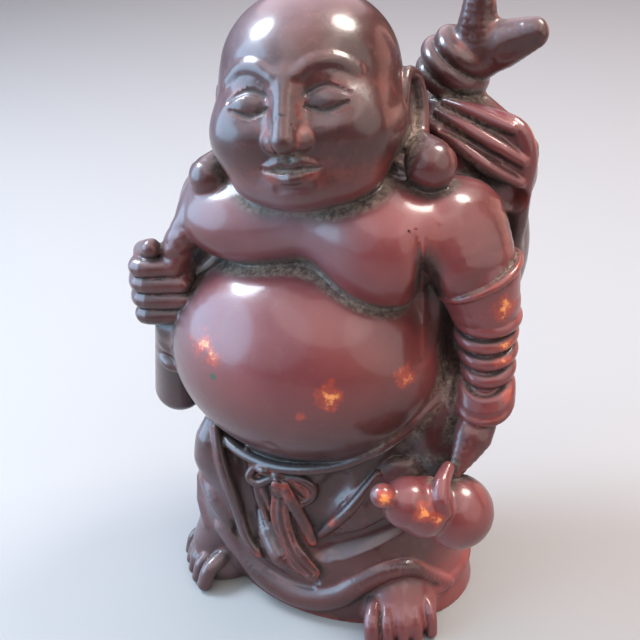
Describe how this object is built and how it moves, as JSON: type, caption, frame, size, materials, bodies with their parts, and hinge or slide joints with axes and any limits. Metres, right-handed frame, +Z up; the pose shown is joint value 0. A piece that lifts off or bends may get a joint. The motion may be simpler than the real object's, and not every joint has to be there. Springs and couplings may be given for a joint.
{
  "type": "budai figure",
  "caption": "Standing cast budai figurine with a bare belly, a robe, a sack on the back held by a twisted strap, and a gourd; an ornament that stands on its own base.",
  "frame": {"origin": "on the flat underside, under the middle of the figure", "axes": "+Z up, the figure faces -Y, and its left side is +X"},
  "size_m": [0.1157, 0.093, 0.1798],
  "materials": {
    "resin": "dark red-brown cast resin, waxed to a gloss, dusty in the hollows and rubbed through to orange-red on high spots"
  },
  "bodies": {
    "root": {"budai_figure": "resin"}
  },
  "joints": []
}
